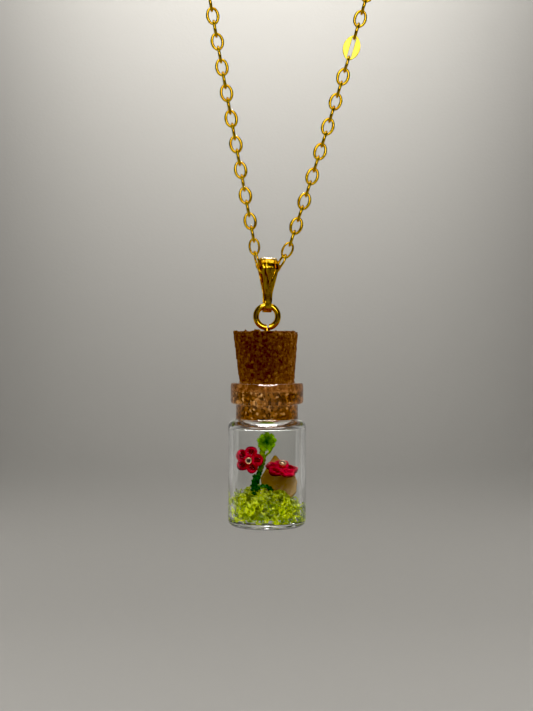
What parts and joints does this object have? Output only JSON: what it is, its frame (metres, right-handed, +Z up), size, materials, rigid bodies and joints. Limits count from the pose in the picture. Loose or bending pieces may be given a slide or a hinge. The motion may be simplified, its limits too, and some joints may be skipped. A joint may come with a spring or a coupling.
{
  "type": "bottle pendant necklace",
  "caption": "Corked glass vial pendant with thread flowers, green filling and a stone chip inside, hanging from a screw eye and a folded bail on a fine gold cable chain.",
  "frame": {"origin": "underside of the clasp's barrel, where the back of a neck carries the necklace", "axes": "+Z up along the hanging pendant, +X to the right as the flowers face the viewer, who looks along +Y"},
  "size_m": [0.0799, 0.013, 0.2436],
  "materials": {
    "chain_gold": "polished yellow gold plate",
    "pressed_gold": "bright flat polished gold plate",
    "clasp_gold": "polished gold plate",
    "bail_gold": "polished gold plate",
    "eye_gold": "polished gold plate",
    "cork_bark": "bare pressed cork with dark pits",
    "vial_glass": "clear polished glass",
    "shred_green": "glossy translucent curls",
    "chip_stone": "translucent polished stone chip",
    "stem_thread": "dark green crochet thread",
    "leaf_thread": "bright green crochet thread",
    "flower_thread": "crimson crochet thread",
    "bead_metal": "copper-gold lustre"
  },
  "bodies": {
    "chain": {"chain_left": "chain_gold", "chain_right": "chain_gold", "pressed_link": "pressed_gold", "clasp": "clasp_gold"},
    "bail": {"bail": "bail_gold"},
    "pendant": {"screw_eye": "eye_gold", "cork": "cork_bark", "bottle": "vial_glass", "shred": "shred_green", "pebble": "chip_stone", "stem": "stem_thread", "leaf_bud": "leaf_thread", "flower_left": "flower_thread", "flower_right": "flower_thread", "bead_left": "bead_metal", "bead_right": "bead_metal"}
  },
  "joints": [
    {"name": "bail_swing", "type": "hinge", "parent": "chain", "child": "bail", "pos_m": [-0.00998, 0, -0.19668], "axis": [0.9777, 0.2079, -0.0307], "range_deg": [-60, 60]},
    {"name": "pendant_swing", "type": "hinge", "parent": "bail", "child": "pendant", "pos_m": [-0.01017, 0, -0.20453], "axis": [0, 1, 0], "range_deg": [-60, 60]}
  ]
}
